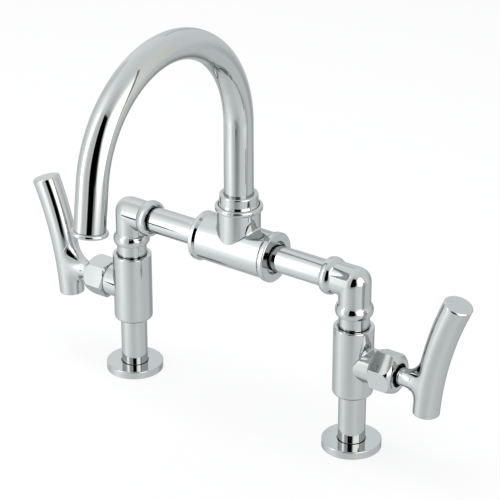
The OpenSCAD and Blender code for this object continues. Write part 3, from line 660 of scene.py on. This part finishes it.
# %% [markdown]
# ## Tee and spout collar
# The tee's run is turned about the bridge's axis, and flares into a rounded disc at each mouth.
# Its branch is turned about the spout's axis, with a rim. The collar stands in the branch with a
# flared foot and a dark ring round it, and the spout turns in it.
# %% Tee and collar
DISC_R, TEE_HOLLOW, RIM_H = 18.8, 1.2, 4.2
BRANCH_SEAT, BRANCH_BORE, POCKET_Z, POCKET_R = 142.2, 13, 164.5, 15.4
COLLAR_FOOT, COLLAR_NECK_R, COLLAR_STEP, COLLAR_FLARE_R = 153.2, 13.85, 164.6, 15.0
COLLAR_TOP = BRANCH_TOP + 8.7
half_run = [(27.8, RUN_R, 0.8), (30.0, DISC_R, 0.8), (RUN_END, DISC_R, 1.1),
            (RUN_END, MOUTH_R, 0.2), (MOUTH_FLOOR, MOUTH_R, 0.1), (MOUTH_FLOOR, 0, 0)]
run = rounded([(-x, r, q) for x, r, q in half_run[::-1]] + half_run, closed=False)
branch = rounded([(BRANCH_SEAT, 0, 0), (BRANCH_SEAT, BRANCH_BORE, 0.1),
                  (POCKET_Z, BRANCH_BORE, 0.1), (POCKET_Z, POCKET_R, 0.1),
                  (BRANCH_TOP, POCKET_R, 0.2), (BRANCH_TOP, RIM_R, 1.9),
                  (BRANCH_TOP - RIM_H, RIM_R, 1.1), (BRANCH_TOP - RIM_H, BRANCH_R, 0.35),
                  (BRIDGE_Z, BRANCH_R, 0.1), (BRIDGE_Z, 0, 0)], closed=False)
hollow = crease(RUN_R, BRANCH_R, TEE_HOLLOW) + (0, 0, BRIDGE_Z)
piece("bridge_tee", [carried(run, **outward(BRIDGE_Z)), carried(branch, **upright()), hollow],
      "faucet", ["tee"], chrome)
collar = rounded([(COLLAR_FOOT, COLLAR_BORE, 0.1), (COLLAR_FOOT, COLLAR_NECK_R, 0.1),
                  (COLLAR_STEP, COLLAR_NECK_R, 0.1), (COLLAR_STEP, COLLAR_FLARE_R, 0.2),
                  (BRANCH_TOP - 0.3, COLLAR_FLARE_R, 0.2), (BRANCH_TOP + 1.5, COLLAR_R, 0.3),
                  (COLLAR_TOP, COLLAR_R, 1.4), (COLLAR_TOP, COLLAR_BORE, 0.4)], closed=True)
piece("swivel_collar", [carried(collar, **upright())], "faucet", ["spout_collar"], chrome)

# %% [markdown]
# ## Spout and aerator
# The gooseneck is a thin walled tube: straight up, then round 172.5 degrees, then straight to the
# outlet. Its outlet has a half round lip with the strainer just inside it.
# %% Spout and aerator
ARCH_R, ARCH_TURN, OUTLET_LEG = 81.0, 172.5, 31.8
LIP_R, LIP_HALF, LIP_BORE, STRAINER_R = 12.8, 1.75, 8.7, 7.3
GOOSE = dict(start=(0, 0, 0), along=(0, 0, 1), towards=(0, -1, 0), straight=TUBE_BEND,
             radius=ARCH_R, turn=ARCH_TURN)
outlet_s = TUBE_BEND + math.radians(ARCH_TURN) * ARCH_R + OUTLET_LEG
tube = rounded([(TUBE_FOOT, TUBE_R, 0.2), (outlet_s, TUBE_R, 0.2), (outlet_s, TUBE_BORE, 0.2),
                (TUBE_FOOT, TUBE_BORE, 0.2)], closed=True)
piece("gooseneck", [carried(dense(tube, 2.0), **GOOSE)], "spout", ["spout_tube"], chrome)
v = np.linspace(-math.pi / 2, math.pi / 2, 21)
lip = np.stack([outlet_s + LIP_HALF * (1 + np.sin(v)), LIP_R - LIP_HALF * (1 - np.cos(v))], axis=1)
end = outlet_s + 2 * LIP_HALF
shelf, back = outlet_s - 6, outlet_s - 7
inside = np.array([[end - 0.05, LIP_BORE + 0.05], [end - 0.2, LIP_BORE], [shelf, LIP_BORE],
                   [shelf, STRAINER_R], [back, STRAINER_R], [back, TUBE_BORE - 0.05],
                   [outlet_s, TUBE_BORE - 0.05]])
lip = np.vstack([lip, inside, lip[:1]])
piece("outlet_lip", [carried(lip, **GOOSE)], "spout", ["aerator_housing"], chrome)

# %% [markdown]
# ## A light tent
# Chrome is a picture of the room, so the room matters more than the metal. Products like this are
# shot in a light tent: a white box half a metre round the piece, with softboxes behind its cloth
# and a dark slot in front for the camera. A real box, and not a picture at infinity, moves its
# reflections from piece to piece as it should. Only mirror rays see it, and it lights nothing.
#
# The table is glossy paper, in which the tent shows once more, upside down, blurred and dim. So
# the walls go on below the table with that picture on them, and mirror rays pass the table by.
# Each wall is painted in bands of height, and each band by a ramp along the wall.
# %% Painting a wall
LEFT, RIGHT, FRONT, BACK, TOP, DEEP = -0.52, 0.52, -0.57, 0.50, 0.85, -0.85
PAPER = (0.968, 1.026, 1.006)
CLOTH = 1.6


def ramp_along(tree, place, stops, tint):
    """Colour at a place from stops of (metres, brightness)."""
    low, high = stops[0][0] - 0.01, stops[-1][0] + 0.01
    share = add(tree, "ShaderNodeMapRange", Value=place, From_Min=low, From_Max=high)
    node = add(tree, "ShaderNodeValToRGB", Fac=share.outputs["Result"])
    for _ in stops[2:]:
        node.color_ramp.elements.new(0.5)
    for element, (metres, bright) in zip(node.color_ramp.elements, stops):
        element.position = (metres - low) / (high - low)
        element.color = (*(bright * t for t in tint), 1)
    return node.outputs["Color"]


def wall(name, corners, along, up, tint, first, *others):
    """A flat wall that only mirror rays see. The first band is a list of stops, and each other one
    is (low, high, stops), blended in from low to high up the wall. along may be a function."""
    material, tree, out = fresh(name)
    spot = add(tree, "ShaderNodeTexCoord").outputs["Object"]
    at = add(tree, "ShaderNodeSeparateXYZ", Vector=spot).outputs
    place = along(tree, at) if callable(along) else at[along]
    colour = ramp_along(tree, place, first, PAPER)
    for low, high, stops in others:
        band = ramp_along(tree, place, stops, PAPER if high < 0 else tint)
        colour = blend(tree, smooth_step(tree, at[up], low, high), colour, band)
    glow = add(tree, "ShaderNodeEmission", Color=colour, Strength=CLOTH)
    tree.links.new(glow.outputs[0], out.inputs["Surface"])
    material.cycles.emission_sampling = "NONE"
    mesh = bpy.data.meshes.new(name)
    mesh.from_pydata(corners, [], [(0, 1, 2, 3)])
    mesh.materials.append(material)
    made = bpy.data.objects.new(name, mesh)
    bpy.context.scene.collection.objects.link(made)
    for kind in ("camera", "diffuse", "transmission", "volume_scatter", "shadow"):
        setattr(made, f"visible_{kind}", False)


print("The tent is", RIGHT - LEFT, "m wide and", TOP, "m high")

# %% [markdown]
# ## The walls
# In front: a white softbox on the left with a dark gap in the corner beside its foot, grey cloth,
# and the black slot. On the right: a warm softbox that ends at a dark seam, which leans backwards
# near the table. The rest is lit cloth.
# %% Walls of the tent
SEAM_LEAN = -0.085


def seam(tree, at):
    """Place along the right wall, pushed back towards the table, where the seam leans."""
    lean = maths(tree, "MULTIPLY", smooth_step(tree, at["Z"], 0.55, 0.12), SEAM_LEAN)
    lean = maths(tree, "MULTIPLY", lean, smooth_step(tree, at["Z"], -0.12, 0.0))
    return maths(tree, "ADD", at["Y"], lean)


def upright_wall(x0, y0, x1, y1):
    """Corners of a wall from one corner of the tent to another."""
    return [(x0, y0, DEEP), (x1, y1, DEEP), (x1, y1, TOP), (x0, y0, TOP)]


def level_wall(z):
    """Corners of a roof or floor over the whole tent at a height."""
    return [(LEFT, FRONT, z), (RIGHT, FRONT, z), (RIGHT, BACK, z), (LEFT, BACK, z)]


by_the_paper = [(-0.3, 1.15), (-0.22, 0.92), (-0.13, 0.74), (-0.03, 0.6), (0.05, 0.5), (0.1, 0.38),
                (0.2, 0.29), (0.3, 0.27), (0.4, 0.36), (0.5, 0.44)]
box_and_slot = [(-0.29, 2.0), (-0.27, 1.22), (-0.20, 0.93), (-0.12, 0.62), (-0.02, 0.55),
                (0.04, 0.56), (0.07, 0.64), (0.10, 0.48), (0.13, 0.0), (0.5, 0.0)]
wall("front cloth", upright_wall(LEFT, FRONT, RIGHT, FRONT), "X", "Z", (0.985, 1.02, 0.993),
     [(-0.5, 0.76), (-0.3, 0.70), (-0.1, 0.62), (0.1, 0.58), (0.5, 0.58)],
     (-0.5, -0.33, [(-0.5, 0.88), (-0.36, 0.81), (-0.26, 0.73), (-0.13, 0.66), (0.0, 0.6),
                    (0.16, 0.57), (0.3, 0.55), (0.5, 0.58)]),
     (-0.32, -0.2, [(-0.5, 1.0), (-0.36, 0.94), (-0.23, 0.83), (-0.13, 0.73), (0.0, 0.63),
                    (0.12, 0.56), (0.25, 0.51), (0.4, 0.46), (0.5, 0.5)]),
     (-0.17, -0.08, [(-0.5, 1.1), *by_the_paper]),
     (-0.085, -0.065, [(-0.48, 0.05), (-0.455, 0.08), (-0.445, 1.1), *by_the_paper]),
     (-0.04, 0.01, [(-0.48, 0.05), (-0.455, 0.08), (-0.445, 1.22), (-0.42, 2.0), *box_and_slot]),
     (0.04, 0.055, [(-0.5, 1.22), (-0.45, 2.0), *box_and_slot]),
     (0.745, 0.785, [(-0.5, 1.0), (-0.36, 1.18), (-0.30, 1.1), (-0.2, 0.85), (-0.1, 0.68),
                     (0.06, 0.6), (0.2, 0.46), (0.36, 0.34), (0.5, 0.42)]))
wall("right cloth", upright_wall(RIGHT, FRONT, RIGHT, BACK), seam, "Z", (1.015, 1.025, 0.96),
     [(-0.56, 0.59), (-0.3, 0.61), (-0.1, 0.59), (0.0, 0.54), (0.1, 0.53), (0.3, 0.55),
      (0.45, 0.54)],
     (-0.5, -0.3, [(-0.56, 0.55), (-0.45, 0.6), (-0.3, 0.64), (-0.15, 0.62), (0.0, 0.58),
                   (0.15, 0.56), (0.45, 0.55)]),
     (-0.2, -0.12, [(-0.56, 0.45), (-0.47, 0.6), (-0.3, 0.66), (-0.15, 0.69), (-0.05, 0.66),
                    (0.02, 0.44), (0.06, 0.38), (0.12, 0.52), (0.2, 0.56), (0.45, 0.56)]),
     (-0.02, 0.15, [(-0.55, 0.02), (-0.50, 0.5), (-0.45, 1.0), (-0.4, 1.13), (-0.37, 1.8),
                    (-0.03, 1.8), (0.0, 1.2), (0.012, 1.18), (0.022, 0.12), (0.042, 0.12),
                    (0.055, 0.72), (0.4, 0.6)]),
     (0.42, 0.76, [(-0.55, 0.2), (-0.50, 0.5), (-0.45, 0.6), (-0.35, 0.72), (-0.15, 0.78),
                   (0.0, 0.76), (0.012, 0.2), (0.04, 0.15), (0.055, 0.66), (0.4, 0.64)]))
wall("left cloth", upright_wall(LEFT, FRONT, LEFT, BACK), "Y", "Z", (0.977, 1.025, 0.998),
     [(-0.56, 0.76), (-0.4, 0.71), (-0.2, 0.66), (0.0, 0.58), (0.2, 0.5), (0.5, 0.5)],
     (-0.5, -0.3, [(-0.56, 0.92), (-0.45, 0.86), (-0.33, 0.78), (-0.2, 0.70), (-0.1, 0.64),
                   (0.0, 0.59), (0.2, 0.55), (0.5, 0.5)]),
     (-0.18, -0.1, [(-0.56, 1.08), (-0.47, 0.95), (-0.4, 0.86), (-0.3, 0.78), (-0.15, 0.73),
                    (0.0, 0.62), (0.1, 0.58), (0.3, 0.6), (0.5, 0.6)]),
     (-0.05, 0.02, [(-0.56, 1.05), (-0.5, 0.83), (-0.4, 0.74), (-0.25, 0.66), (-0.1, 0.61),
                    (0.03, 0.65), (0.14, 0.8), (0.45, 0.74)]),
     (0.2, 0.6, [(-0.56, 1.05), (-0.5, 0.98), (-0.4, 0.88), (-0.25, 0.74), (-0.1, 0.64),
                 (0.03, 0.64), (0.16, 0.83), (0.45, 0.74)]))
wall("back cloth", upright_wall(LEFT, BACK, RIGHT, BACK), "X", "Z", (0.955, 1.017, 1.028),
     [(-0.5, 0.58), (-0.25, 0.55), (-0.12, 0.42), (0.0, 0.37), (0.1, 0.4), (0.17, 0.46),
      (0.25, 0.52), (0.32, 0.55), (0.46, 0.56)],
     (-0.05, 0.03, [(-0.5, 0.6), (-0.2, 0.58), (-0.05, 0.68), (0.08, 0.5), (0.22, 0.4),
                    (0.34, 0.46), (0.46, 0.57)]),
     (0.05, 0.4, [(-0.5, 0.72), (-0.36, 0.7), (-0.29, 0.5), (-0.24, 0.72), (0.0, 0.68), (0.3, 0.64),
                  (0.46, 0.63)]))
wall("roof cloth", level_wall(TOP), "X", "Y", (0.979, 1.028, 0.993),
     [(-0.5, 1.0), (-0.36, 1.07), (-0.22, 0.92), (-0.05, 0.7), (0.1, 0.58), (0.3, 0.46),
      (0.48, 0.5)],
     (-0.6, -0.12, [(-0.5, 0.78), (-0.3, 0.74), (0.0, 0.68), (0.2, 0.65), (0.48, 0.66)]))
wall("roof in the paper", level_wall(DEEP), "X", "Y", PAPER,
     [(-0.5, 0.65), (-0.2, 0.61), (0.0, 0.57), (0.48, 0.55)],
     (-0.1, 0.1, [(-0.5, 0.5), (0.0, 0.47), (0.48, 0.53)]))
print("The tent stands round the faucet")

# %% [markdown]
# ## The table
# The faucet stands on a plain pale table. To the camera it is nearly white and keeps the
# faucet's soft shadow: most of it is light of its own, and the rest is lit by the lamp. Far from
# the faucet it is all light of its own, so its edge doesn't show before the background.
# %% Table
LIT_SHARE, FADE_FROM, FADE_TO = 0.2, 1.1, 2.6


def table_material():
    """White that dims in shadow: its share of lit paper is LIT_SHARE near the faucet and none far
    from it. Its own light is for the camera's rays, and for clear pieces."""
    material, tree, out = fresh("pale table")
    path = add(tree, "ShaderNodeLightPath")
    spot = add(tree, "ShaderNodeTexCoord").outputs["Object"]
    clear = maths(tree, "MAXIMUM", path.outputs["Is Camera Ray"],
                  path.outputs["Is Transmission Ray"])
    own = add(tree, "ShaderNodeEmission", Color=(1, 1, 1, 1), Strength=clear)
    grain = add(tree, "ShaderNodeTexNoise", Vector=spot, Scale=600.0, Detail=4.0)
    tone = add(tree, "ShaderNodeMapRange", Value=grain.outputs["Fac"], To_Min=0.88, To_Max=0.92)
    lit = add(tree, "ShaderNodeBsdfDiffuse", Color=tone.outputs["Result"])
    apart = add(tree, "ShaderNodeVectorMath", dict(operation="LENGTH"), i0=spot).outputs["Value"]
    far = smooth_step(tree, apart, FADE_FROM, FADE_TO)
    share = maths(tree, "MULTIPLY_ADD", far, -LIT_SHARE, LIT_SHARE)
    both = add(tree, "ShaderNodeMixShader", i0=share, i1=own.outputs[0], i2=lit.outputs[0])
    tree.links.new(both.outputs[0], out.inputs["Surface"])
    return material


half, low = 3.0, -0.0002
corners = [(-half, -half, low), (half, -half, low), (half, half, low), (-half, half, low)]
table_mesh = bpy.data.meshes.new("table")
table_mesh.from_pydata(corners, [], [(0, 1, 2, 3)])
table_mesh.materials.append(table_material())
table = bpy.data.objects.new("table", table_mesh)
table.visible_glossy = False
bpy.context.scene.collection.objects.link(table)
print("The table is", 2 * half, "m wide")

# %% [markdown]
# ## The world
# Round it all is plain white, which the camera sees as the background.
# %% World
world = bpy.data.worlds.new("studio")
world.use_nodes = True
bpy.context.scene.world = world
tree = world.node_tree
tree.nodes.clear()
to_camera = add(tree, "ShaderNodeLightPath").outputs["Is Camera Ray"]
world_tone = blend(tree, to_camera, (0.62, 0.63, 0.64), (1.0, 1.0, 1.0))
sky = add(tree, "ShaderNodeBackground", Color=world_tone, Strength=1.0)
sky_out = tree.nodes.new("ShaderNodeOutputWorld")
tree.links.new(sky.outputs[0], sky_out.inputs["Surface"])
print("The background is white to the camera")

# %% [markdown]
# ## Lamp and camera
# One large lamp overhead gives the table its soft shadow and lights what isn't metal. The chrome
# doesn't show it, because it has the tent's roof to show. The camera's place and lens were
# worked out from the outlines of the round parts in the photograph.
# %% Lamp
lamp = bpy.data.objects.new("soft lamp", bpy.data.lights.new("soft lamp", "AREA"))
lamp.data.shape = "DISK"
lamp.data.size = 1.2
lamp.data.energy = 15.0
lamp.location = (-0.25, -0.1, 1.5)
lamp.visible_glossy = False
bpy.context.scene.collection.objects.link(lamp)
print("Lamp energy:", lamp.data.energy, "W")

# %% Camera
VIEW_AZIMUTH, VIEW_ELEVATION, VIEW_ROLL = (math.radians(v) for v in (36.0934, 25.6537, -0.0604))
VIEW_FROM = (0.82011, -1.111279, 0.792706)
LENS_IN_PIXELS, PICTURE_WIDTH = 2091.749, 500
camera = bpy.data.objects.new("camera", bpy.data.cameras.new("camera"))
camera.data.sensor_width = 36.0
camera.data.lens = LENS_IN_PIXELS / PICTURE_WIDTH * camera.data.sensor_width
sin_a, cos_a = math.sin(VIEW_AZIMUTH), math.cos(VIEW_AZIMUTH)
sin_e, cos_e = math.sin(VIEW_ELEVATION), math.cos(VIEW_ELEVATION)
back = np.array([sin_a * cos_e, -cos_a * cos_e, sin_e])
level = np.array([cos_a, sin_a, 0.0])
above = np.cross(back, level)
right = math.cos(VIEW_ROLL) * level + math.sin(VIEW_ROLL) * above
above = math.cos(VIEW_ROLL) * above - math.sin(VIEW_ROLL) * level
turn = Matrix(np.stack([right, above, back], axis=1).tolist())
camera.matrix_world = Matrix.Translation(VIEW_FROM) @ turn.to_4x4()
bpy.context.scene.collection.objects.link(camera)
bpy.context.scene.camera = camera
print("Lens:", round(camera.data.lens, 2), "mm")

bpy.context.scene.view_settings.view_transform = "Standard"
